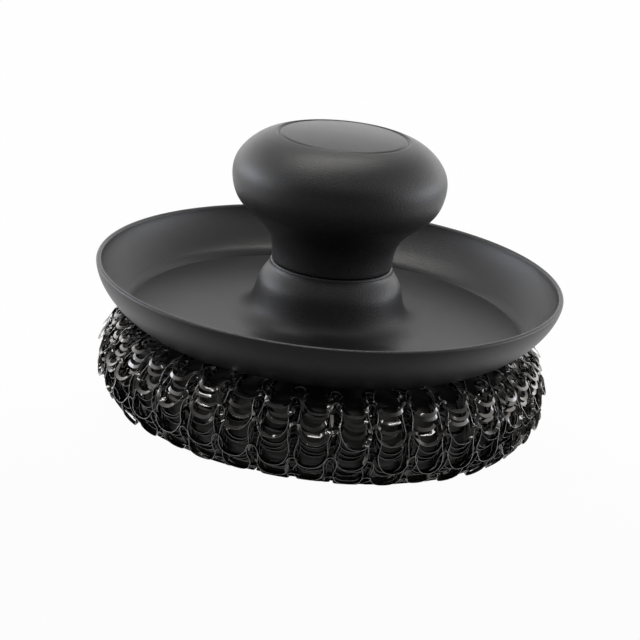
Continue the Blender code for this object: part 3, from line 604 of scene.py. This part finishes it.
def makeBolt():
    tip = bolt["headSeat"] - bolt["length"]
    top = bolt["headSeat"] + bolt["headHeight"] / 2
    rows = int((top - tip) / bolt["pitch"] * bolt["rowsPerTurn"])
    heights = np.linspace(top, tip, rows)
    depth = bolt["radius"] - bolt["root"]

    def threadRelief(row, angles, radii, levels):
        turn = (levels / bolt["pitch"] - angles / math.tau) % 1.0
        flank = np.clip((np.abs(2 * turn - 1) - bolt["crest"]) / bolt["flank"], 0, 1)
        radii = bolt["root"] + depth * (1 - flank)
        return np.minimum(radii, bolt["root"] - bolt["tipInset"] + (levels - tip)), levels

    outline = [(0.0, top)] + [(bolt["radius"], z) for z in heights] + [(0.0, tip)]
    shank = turnedMesh("shank", outline, bolt["steps"], closed=False, relief=threadRelief)
    smoothMesh(shank, 60)
    placePiece("boltShank", shank, [brightSteel], "knob_group", ["knob_bolt"])

    seat = bolt["headSeat"]
    half = bolt["headFlats"] / 2
    corner = bolt["headFlats"] / math.sqrt(3)
    outer = corner + bolt["cornerMargin"]
    headTop = seat + bolt["headHeight"]
    face = half * bolt["headFace"]
    chamfer = (corner - face) * math.tan(math.radians(bolt["headChamfer"]))
    outline = [(0.0, headTop), (face, headTop), (outer, headTop - chamfer)]
    outline += [(outer, seat + bolt["headFoot"]), (half, seat), (0.0, seat)]
    cone = turnedMesh("headCone", outline, 96, closed=False)
    hexagon = hexagonMesh(bolt["headFlats"], seat - cutMargin, headTop + cutMargin)
    head = booleanMesh("boltHead", hexagon, [cone], "INTERSECT")
    smoothMesh(head, 25)
    placePiece("boltHead", head, [brightSteel], "knob_group")


retainer = {
    "radius": 19.0, "thickness": 3.0, "level": 9.5, "crown": 0.7, "floor": 3.5, "bore": 4.4, "steps": 144,
    "hub": 10.0, "hubTop": 44.5, "hubFillet": 1.5, "hubEdge": 0.4,
    "keyThickness": 1.5, "keyReach": 13.5, "keyLength": 10.0, "keys": 3, "keyGap": 0.4,
}
insert = {
    "radius": 5.6, "top": 44.0, "length": 16.0, "gap": 0.3, "edge": 0.3, "rows": 64, "steps": 144,
    "threadRadius": 4.2, "threadDepth": 0.2,
    "knurls": 18, "knurlLean": 1.6, "knurlDepth": 0.30, "waistHalf": 0.8, "waistDepth": 0.55,
}


def makeRetainer():
    bottom = retainer["level"]
    seat = insert["radius"] + insert["gap"]
    edge = retainer["thickness"] / 2
    insertSeat = insert["top"] - insert["length"] - insert["gap"]
    hub, top = retainer["hub"], retainer["hubTop"]
    fillet = retainer["hubFillet"]
    floor = bottom + retainer["floor"]
    outline = [(0.0, floor), (retainer["bore"], floor), (retainer["bore"], insertSeat), (seat, insertSeat)]
    outline += [(seat, top - insert["edge"]), (seat + insert["edge"], top)]
    outline += [(hub - retainer["hubEdge"], top), (hub, top - retainer["hubEdge"])]
    filletCentre = (hub + fillet, bottom + retainer["thickness"] + fillet)
    outline += ellipseArc(filletCentre, (fillet, fillet), 180, 270, 8)
    outline += ellipseArc((retainer["radius"] - edge, bottom + edge), (edge, edge), 90, -90, 15)
    outline += ellipseArc((0.0, bottom), (retainer["radius"] - edge, -retainer["crown"]), 0, 90, 20)[1:]
    shell = turnedMesh("retainer", outline, retainer["steps"], closed=False)
    keyTop = top - fillet
    foot = keyTop - retainer["keyLength"]
    thick = retainer["keyThickness"]
    root = hub - thick
    key = [(root, foot), (retainer["keyReach"], foot + thick), (retainer["keyReach"], keyTop), (root, keyTop)]
    aside = tray["ribThickness"] / 2 + retainer["keyGap"] + thick / 2
    turns = [math.tau * i / retainer["keys"] for i in range(retainer["keys"])]
    keys = [finMesh(key, thick, turn, side) for turn in turns for side in (-aside, aside)]
    mesh = booleanMesh("retainerBody", shell, [joinedMesh("keys", keys)], "UNION")
    smoothMesh(mesh, 40)
    placePiece("retainerBody", mesh, [greyPlastic], "base", ["pad_retainer"])


def makeInsert():
    top = insert["top"]
    low = top - insert["length"]
    radius = insert["radius"]
    heights = np.linspace(top, low, insert["rows"])
    outline = [(insert["threadRadius"], z) for z in heights[::-1]] + [(radius - insert["edge"], top)]
    outline += [(radius, z) for z in heights[1:-1]] + [(radius - insert["edge"], low)]

    def knurl(row, angles, radii, levels):
        if radii[0] <= insert["threadRadius"]:
            turn = (levels / bolt["pitch"] - angles / math.tau) % 1.0
            return radii + insert["threadDepth"] * np.abs(2 * turn - 1), levels
        if radii[0] < radius:
            return radii, levels
        if abs(levels[0] - (top + low) / 2) < insert["waistHalf"]:
            return radii - insert["waistDepth"], levels
        one = np.abs(np.sin(angles * insert["knurls"] + levels * insert["knurlLean"]))
        two = np.abs(np.sin(angles * insert["knurls"] - levels * insert["knurlLean"]))
        return radii - insert["knurlDepth"] * (1 - np.minimum(one, two)), levels

    mesh = turnedMesh("insert", outline, insert["steps"], relief=knurl)
    smoothMesh(mesh, 40)
    placePiece("insertBody", mesh, [brassMetal], "base", ["retainer_insert"])


makeBolt()
makeRetainer()
makeInsert()
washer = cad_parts["bolt_retainer"]
for index in range(len(washer.material_slots)):
    washer.material_slots[index].material = brightSteel
print("bolt, retainer and insert made")


# Pad: a folded stocking of flat steel ribbon, knitted by four feeds at once

pad = {
    "radius": 63.2, "thickness": 28.8, "widest": 16.0, "upperStart": 49.0, "lowerStart": 40.0,
    "shoulderRise": 1.5, "footFlattening": 0.5, "lowerCurve": 2.28, "holeRadius": 19.3, "holeFillet": 4.4,
    "topInner": 45.0, "holeTop": 11.6, "trayGap": 0.5, "lineStep": 0.25, "smoothing": 7,
    "slump": 1.2, "slumpTurn": -75.0, "tuck": 0.8, "oval": 0.7,  # it sits a little crooked and out of round
    "slumpReach": 1.1,  # as a share of the widest point's height
}
knit = {
    "wales": 38,  # upright columns of loops round the pad
    "turnPitch": 7.4,  # one ribbon's rise in a turn round the pad
    "loopHeight": 11.6,  # from a wide foot's bottom to the top of the narrow head
    "ribbonWidth": 0.95,
    "ribbonThickness": 0.12,
    "ribbonCrown": 0.012,  # the faces bulge a little, as rolled wire does
    "facing": (-60.0, -20.0, 2.0, 10.0, 45.0, 65.0),  # where the pad's surface looks, degrees above level
    "droop": (-20.0, 0.0, 10.0, 59.0, 94.0, 112.0),  # how far the ribbons' edges hang from square to it there
    "droopSpread": 6.0,
    "level": ((0.20, 0.46), (1.0, 0.85)),  # away from the foot's middle, in loop widths, a ribbon hangs less
    "twist": 30.0,  # how far a ribbon turns about itself where it runs through another loop
    "twistFrom": 0.12,  # where up a loop that starts
    "twistLength": 0.5,  # how much of the loop it takes
    "rise": (0.0, 0.20, 0.38, 0.75, 1.0),  # up a loop, from foot to head
    "sink": (0.0, 0.55, 1.50, 1.20, 0.75),  # how much deeper than the foot the ribbon lies there
    "pressed": ((-70.0, -35.0), (0.4, 1.0)),  # towards the working face the layers lie closer together
    "looseness": 0.42,  # scales the four spreads below
    "asideSpread": 0.003,  # in turns round the pad
    "heightSpread": 0.12,  # as a share of the loop's height
    "dropSpread": 1.0,
    "outSpread": 0.6,
    "groundGap": 0.04, "trayGap": 0.15,
    "seed": 7,
}
# four ribbons run side by side: each one's start along the section, how far it stands out, points a loop
feeds = (
    {"name": "outerRibbon", "start": 0.0, "proud": 0.60, "samples": 28},
    {"name": "secondRibbon", "start": 1.7, "proud": -0.60, "samples": 22},
    {"name": "thirdRibbon", "start": 3.9, "proud": -1.30, "samples": 20},
    {"name": "innerRibbon", "start": 5.6, "proud": -2.00, "samples": 18},
)


def padSection():
    # the pad's outside as a smooth line of (radius, height), from the top under the tray to the hole
    upperRadii = (pad["radius"] - pad["upperStart"], pad["thickness"] - pad["widest"] + pad["shoulderRise"])
    lowerRadii = (pad["radius"] - pad["lowerStart"], -(pad["widest"] + pad["footFlattening"]))
    upper = ellipseArc((pad["upperStart"], pad["widest"]), upperRadii, 90, 0, 60)
    lower = ellipseArc((pad["lowerStart"], pad["widest"]), lowerRadii, 0, 90, 80, pad["lowerCurve"])
    points = [(pad["topInner"], pad["thickness"])]
    points += [(r, min(z, float(trayUnderside(r)) - pad["trayGap"])) for r, z in upper]
    points += [(r, max(z, 0.0)) for r, z in lower[1:]]
    middle = pad["holeRadius"] + pad["holeFillet"]
    points += ellipseArc((middle, pad["holeFillet"]), (pad["holeFillet"], pad["holeFillet"]), 270, 180, 12)
    points.append((pad["holeRadius"], pad["holeTop"]))
    line = np.array(points, float)
    steps = np.hypot(*np.diff(line, axis=0).T)
    along = np.concatenate([[0], np.cumsum(steps)])
    keep = np.concatenate([[True], steps > 1e-6])
    even = np.arange(0, along[-1], pad["lineStep"])
    line = np.stack([np.interp(even, along[keep], line[keep, axis]) for axis in (0, 1)], 1)
    window = np.ones(pad["smoothing"]) / pad["smoothing"]
    half = pad["smoothing"] // 2
    padded = np.pad(line, ((half, half), (0, 0)), mode="edge")
    line = np.stack([np.convolve(padded[:, axis], window, "valid") for axis in (0, 1)], 1)
    tangent = np.gradient(line, axis=0)
    tangent /= np.linalg.norm(tangent, axis=1)[:, None]
    return even, line, tangent


sectionAt, sectionLine, sectionTangent = padSection()


def onSection(distance):
    distance = np.clip(distance, 0, sectionAt[-1])
    place = [np.interp(distance, sectionAt, sectionLine[:, axis]) for axis in (0, 1)]
    slope = [np.interp(distance, sectionAt, sectionTangent[:, axis]) for axis in (0, 1)]
    return np.stack(place, 1), np.stack(slope, 1)


def loopShape(samples):
    # one loop, from a narrow head between two columns, in at the neck, round the wide foot and up again
    halfLoop = [
        (0.0, 1.0), (0.055, 0.988), (0.105, 0.945), (0.138, 0.87), (0.150, 0.77), (0.143, 0.65),
        (0.118, 0.53), (0.092, 0.43), (0.086, 0.36), (0.104, 0.28), (0.142, 0.19), (0.198, 0.11),
        (0.275, 0.045), (0.380, 0.008), (0.5, 0.0),
    ]
    side = np.array(halfLoop)
    other = side[::-1][1:] * (-1, 1) + (1, 0)
    whole = np.concatenate([side, other])
    pitch = math.tau * pad["radius"] / knit["wales"]
    steps = np.hypot(*(np.diff(whole, axis=0) * (pitch, knit["loopHeight"])).T)
    along = np.concatenate([[0], np.cumsum(steps)])
    count, window = 300, 9
    fine = np.linspace(0, along[-1], count)
    curve = np.stack([np.interp(fine, along, whole[:, axis]) for axis in (0, 1)], 1)
    half = window // 2
    extended = np.concatenate([curve[-half - 1:-1] - (1, 0), curve, curve[1:half + 1] + (1, 0)])
    weights = np.ones(window) / window
    curve = np.stack([np.convolve(extended[:, axis], weights, "valid") for axis in (0, 1)], 1)
    even = np.linspace(0, count - 1, samples, endpoint=False)
    return np.stack([np.interp(even, np.arange(count), curve[:, axis]) for axis in (0, 1)], 1)


def lean(angle, height):
    # how far the pad's crooked side stands out there
    low = np.clip(pad["slumpReach"] - height / pad["widest"], 0, 1)
    fuller = pad["slump"] * np.cos(angle - math.radians(pad["slumpTurn"] + 90))
    return low * (fuller + pad["oval"] * np.cos(2 * angle) - pad["tuck"])


def ribbonMiddle(number, feed):
    # one feed's ribbon, point by point: its middle line and the ways that its width and thickness point
    random = np.random.default_rng(knit["seed"] + number)
    wales, samples, tall = knit["wales"], feed["samples"], knit["loopHeight"]
    turns = (sectionAt[-1] - feed["start"] - tall) / knit["turnPitch"]
    loops = int(turns * wales)
    shape = loopShape(samples)
    feet = {key: random.normal(0, 1, loops + 1) for key in ("drop", "aside", "out", "tilt", "twist")}
    arches = {key: random.normal(0, 1, loops + 2) for key in ("drop", "aside", "out")}
    index = np.repeat(np.arange(loops), samples)
    across = np.tile(shape[:, 0], loops)
    up = np.tile(shape[:, 1], loops)
    arch = index + (across > 0.5)
    mixed = {key: (1 - up) * feet[key][index] + up * arches[key][arch] for key in arches}
    loose = {key: values * knit["looseness"] for key, values in mixed.items()}
    along = (index + across) / wales
    angle = math.tau * (along + loose["aside"] * knit["asideSpread"])
    height = tall * (1 + knit["heightSpread"] * loose["drop"])
    distance = feed["start"] + tall + along * knit["turnPitch"] - up * height
    distance += (1 - up) * loose["drop"] * knit["dropSpread"]
    place, slope = onSection(distance)
    radial = np.stack([np.cos(angle), np.sin(angle)], 1)

    def solid(pair):
        return np.concatenate([radial * pair[:, :1], pair[:, 1:]], 1)

    tangent = solid(slope)
    outward = solid(np.stack([-slope[:, 1], slope[:, 0]], 1))
    proud = feed["proud"] - np.interp(up, knit["rise"], knit["sink"]) + loose["out"] * knit["outSpread"]
    facing = np.degrees(np.arctan2(slope[:, 0], -slope[:, 1]))
    proud = proud * np.interp(facing, *knit["pressed"]) + lean(angle, place[:, 1])
    middle = solid(place) + outward * proud[:, None]
    path = np.gradient(middle, axis=0)
    path /= np.linalg.norm(path, axis=1)[:, None]
    hang = np.interp(facing, knit["facing"], knit["droop"])
    hang *= np.interp(np.abs(across - 0.5), *knit["level"])
    hang = np.radians(hang + knit["droopSpread"] * feet["tilt"][index])[:, None]
    width = outward * np.cos(hang) + tangent * np.sin(hang)
    width -= path * np.sum(width * path, axis=1)[:, None]
    width /= np.linalg.norm(width, axis=1)[:, None]
    twist = np.sin(math.pi * np.clip((up - knit["twistFrom"]) / knit["twistLength"], 0, 1))
    twist *= np.where(across < 0.5, 1, -1)
    twist = (np.radians(knit["twist"]) * twist * feet["twist"][index])[:, None]
    width = width * np.cos(twist) + np.cross(path, width) * np.sin(twist)
    return middle, width, np.cross(path, width), loops


def makeRibbon(number, feed):
    middle, width, thick, loops = ribbonMiddle(number, feed)
    middle -= width * knit["ribbonWidth"] / 2
    wide = width * knit["ribbonWidth"] / 2
    flat = thick * knit["ribbonThickness"] / 2
    bulge = flat + thick * knit["ribbonCrown"]
    upperSide = [middle - wide + flat, middle + bulge, middle + wide + flat]
    lowerSide = [middle + wide - flat, middle - bulge, middle - wide - flat]
    corners = np.stack(upperSide + lowerSide, 1)
    lift = np.maximum(knit["groundGap"] - corners[:, :, 2].min(1), 0)
    corners[:, :, 2] += lift[:, None]
    ceiling = trayUnderside(np.hypot(corners[:, :, 0], corners[:, :, 1])) - knit["trayGap"]
    room = ceiling - corners[:, :, 2]
    corners[:, :, 2] += np.minimum(room.min(1), 0)[:, None]

    count, around = corners.shape[:2]
    ring = np.arange(count - 1)[:, None] * around
    quads = []
    for side in range(around):
        after = (side + 1) % around
        quads.append(ring + np.array([side, side + around, after + around, after]))
    faces = np.concatenate(quads).tolist()
    faces += [list(range(around))[::-1], list(range(count * around - around, count * around))]
    mesh = bpy.data.meshes.new(feed["name"])
    mesh.from_pydata((corners.reshape(-1, 3) * mm).tolist(), [], faces)
    # the outer ribbon's edges carry the painted highlight, the inner ribbons' edges the same dimmed by
    # painted shade
    edge = paintedHighlightEdge if number == 0 else paintedShadeEdge
    placePiece(feed["name"], mesh, [ribbonFace, edge], "base", ["pad_sleeve"])
    sides = np.repeat([0, 0, 1, 0, 0, 1], count - 1).tolist() + [1, 1]
    mesh.polygons.foreach_set("material_index", sides)
    smoothMesh(mesh, 40)
    print(feed["name"], loops, "loops,", len(mesh.polygons) * 2, "triangles")


core = {
    "depth": 4.6, "footDepth": 2.2, "footFacing": (-50.0, -10.0),  # the depth changes between these facings
    "lump": 0.35, "lumpTurn": 0.9, "ground": 0.1, "lineStride": 4, "stepsPerWale": 5,
}


def makeCore():
    # the folded layers inside, seen only through the loops; their steel is painted darker than the ribbons,
    # as shade inside the pad
    depth, stride = core["depth"], core["lineStride"]
    facing = np.degrees(np.arctan2(sectionTangent[:, 0], -sectionTangent[:, 1]))
    deep = np.interp(facing, core["footFacing"], (core["footDepth"], depth))[:, None]
    outward = np.stack([-sectionTangent[:, 1], sectionTangent[:, 0]], 1)
    normals = outward[::stride]
    outline = [tuple(p) for p in (sectionLine - outward * deep)[::stride]]
    outline.append((pad["holeRadius"] + depth, pad["thickness"] - depth))

    def lumps(row, angles, radii, levels):
        wave = core["lump"] * np.cos(angles * knit["wales"]) * math.sin(row * core["lumpTurn"])
        if row >= len(normals):
            return radii + wave, levels
        wave += lean(angles, levels)
        return radii + wave * normals[row, 0], np.maximum(levels + wave * normals[row, 1], core["ground"])

    mesh = turnedMesh("core", outline, knit["wales"] * core["stepsPerWale"], relief=lumps)
    smoothMesh(mesh, 60)
    piece = placePiece("padCore", mesh, [paintedShadeCoreSteel], "base", ["pad_lining", "pad_roll"])


for number, feed in enumerate(feeds):
    makeRibbon(number, feed)
makeCore()

hoop = {"radius": 15.2, "section": 1.8}
hoops = (("upperHoop", 27.9, "upper_gather_ring"), ("lowerHoop", 13.7, "lower_gather_ring"))
for name, level, node in hoops:
    mesh = ringMesh(name, hoop["radius"], hoop["section"], level, 128, 16)
    placePiece(name, mesh, [brightSteel], "base", [node])
print("pad made")


# Studio: pale floor with a painted shadow in front, bright room with a dark front, a soft lamp overhead and
# at each side, three strips

studio = {
    "floorSize": 6.0, "floorPale": (0.88, 0.88, 0.88), "floorPaintedShadow": (0.16, 0.16, 0.16), "whiteShare": 0.97,
    "floorRoughness": 0.9, "mirrorShare": (0.10, 1.0),
    "paintedShadowEdge": -0.085, "paintedShadowFade": 0.10,  # the floor is painted dark in front, as the object's shadow; there it mirrors only a little white
    "roomLight": 2.2, "frontLight": 0.10, "darkFrom": -0.05, "darkTo": 0.60,
    "highFrom": 0.05, "highTo": 0.75, "highLight": 0.05,
}


def makeFloor():
    form = bmesh.new()
    bmesh.ops.create_grid(form, x_segments=8, y_segments=8, size=studio["floorSize"] / 2)
    mesh = bpy.data.meshes.new("floor")
    form.to_mesh(mesh)
    form.free()
    floor = bpy.data.objects.new("floor", mesh)
    bpy.context.scene.collection.objects.link(floor)
    material, tree, shader = newMaterial("floor")
    parts = addNode(tree, "SeparateXYZ")
    tree.links.new(addNode(tree, "NewGeometry").outputs["Position"], parts.inputs[0])
    # painted shadow: the floor is coloured dark in front of the object, and mirrors little white there
    edge = studio["paintedShadowEdge"]
    pale = rangeNode(tree, parts.outputs[1], edge, edge + studio["paintedShadowFade"], 0.0, 1.0)
    colour = mixColours(tree, pale, studio["floorPaintedShadow"], studio["floorPale"])
    tree.links.new(colour, shader.inputs["Base Color"])
    shader.inputs["Roughness"].default_value = studio["floorRoughness"]
    shader.inputs["Specular IOR Level"].default_value = 0.0
    white = addNode(tree, "Emission")
    path = addNode(tree, "LightPath").outputs
    mirrored = mathNode(tree, "MAXIMUM", path["Is Glossy Ray"], path["Is Transmission Ray"])
    seen = mathNode(tree, "MULTIPLY", path["Is Camera Ray"], studio["whiteShare"])
    mirrorShare = rangeNode(tree, pale, 0.0, 1.0, *studio["mirrorShare"])
    share = mathNode(tree, "MAXIMUM", seen, mathNode(tree, "MULTIPLY", mirrored, mirrorShare))
    mix = addNode(tree, "MixShader")
    tree.links.new(share, mix.inputs[0])
    tree.links.new(shader.outputs[0], mix.inputs[1])
    tree.links.new(white.outputs[0], mix.inputs[2])
    tree.links.new(mix.outputs[0], tree.nodes["Material Output"].inputs["Surface"])
    mesh.materials.append(material)


def makeRoom():
    world = bpy.data.worlds.new("room")
    bpy.context.scene.world = world
    world.use_nodes = True
    tree = world.node_tree
    background = tree.nodes["Background"]
    background.inputs["Color"].default_value = (1.0, 1.0, 1.0, 1.0)
    direction = addNode(tree, "TexCoord").outputs["Generated"]
    parts = addNode(tree, "SeparateXYZ")
    tree.links.new(direction, parts.inputs[0])
    toFront = mathNode(tree, "MULTIPLY", parts.outputs[1], -1.0)
    front = rangeNode(tree, toFront, studio["darkFrom"], studio["darkTo"], 1.0, 0.0)
    high = rangeNode(tree, parts.outputs[2], studio["highFrom"], studio["highTo"], 1.0, studio["highLight"])
    front = mathNode(tree, "MULTIPLY", front, high)
    level = rangeNode(tree, front, 0.0, 1.0, studio["frontLight"], studio["roomLight"])
    path = addNode(tree, "LightPath").outputs
    mirrored = mathNode(tree, "MAXIMUM", path["Is Glossy Ray"], path["Is Transmission Ray"])
    white = mathNode(tree, "MAXIMUM", path["Is Camera Ray"], mathNode(tree, "MULTIPLY", mirrored, front))
    tree.links.new(mathNode(tree, "MAXIMUM", white, level), background.inputs["Strength"])


def addLamp(name, place, target, size, radiance, tint):
    # an area lamp's power is its radiance times its area times pi
    lamp = bpy.data.lights.new(name, "AREA")
    lamp.shape = "RECTANGLE"
    lamp.size, lamp.size_y = size
    lamp.energy = radiance * size[0] * size[1] * math.pi
    lamp.color = tint
    thing = bpy.data.objects.new(name, lamp)
    bpy.context.scene.collection.objects.link(thing)
    thing.location = place
    aim = Vector(target) - Vector(place)
    thing.rotation_euler = aim.to_track_quat("-Z", "Y").to_euler()


def makeCamera():
    view = {
        "elevation": 18.7, "roll": 5.65, "distance": 0.550, "turnPoint": 0.0325,
        "target": (-0.00162, 0.0, 0.02945),
    }
    lens = {"pixels": 1958.0, "frame": 640.0, "sensor": 36.0}
    camera = bpy.data.cameras.new("camera")
    camera.sensor_width = lens["sensor"]
    camera.lens = lens["pixels"] / lens["frame"] * lens["sensor"]
    camera.clip_start = 0.01
    thing = bpy.data.objects.new("camera", camera)
    bpy.context.scene.collection.objects.link(thing)
    tilt = math.radians(view["elevation"])
    place = Vector((0, -math.cos(tilt), math.sin(tilt))) * view["distance"]
    place += Vector((0, 0, view["turnPoint"]))
    forward = (Vector(view["target"]) - place).normalized()
    turn = forward.to_track_quat("-Z", "Y").to_matrix().to_4x4()
    roll = Matrix.Rotation(math.radians(view["roll"]), 4, "Z")
    thing.matrix_world = Matrix.Translation(place) @ turn @ roll
    bpy.context.scene.camera = thing


makeFloor()
makeRoom()
# name, place, target, size, radiance and tint
lamps = (
    ("overhead", (-0.13, 0.20, 0.9), (0, 0, 0.06), (0.8, 0.28), 5.2, (1.0, 0.99, 0.96)),
    ("frontStrip", (0.0, -0.50, 0.76), (0, 0, 0.02), (0.44, 0.018), 10.0, (1.0, 1.0, 1.0)),
    ("leftStrip", (-0.60, -0.26, 0.76), (-0.24, 0.12, 0), (0.5, 0.018), 10.0, (1.0, 1.0, 1.0)),
    ("rightStrip", (0.60, -0.26, 0.76), (0.24, 0.12, 0), (0.5, 0.018), 10.0, (1.0, 1.0, 1.0)),
    ("leftSide", (-0.86, 0.26, 0.18), (0, 0, 0.10), (0.5, 0.30), 3.6, (0.80, 0.84, 1.0)),
    ("rightSide", (0.86, 0.26, 0.14), (0, 0, 0.09), (0.5, 0.23), 2.8, (0.80, 0.84, 1.0)),
)
for lamp in lamps:
    addLamp(*lamp)
makeCamera()
bpy.context.scene.view_settings.view_transform = "Standard"
print("studio made")
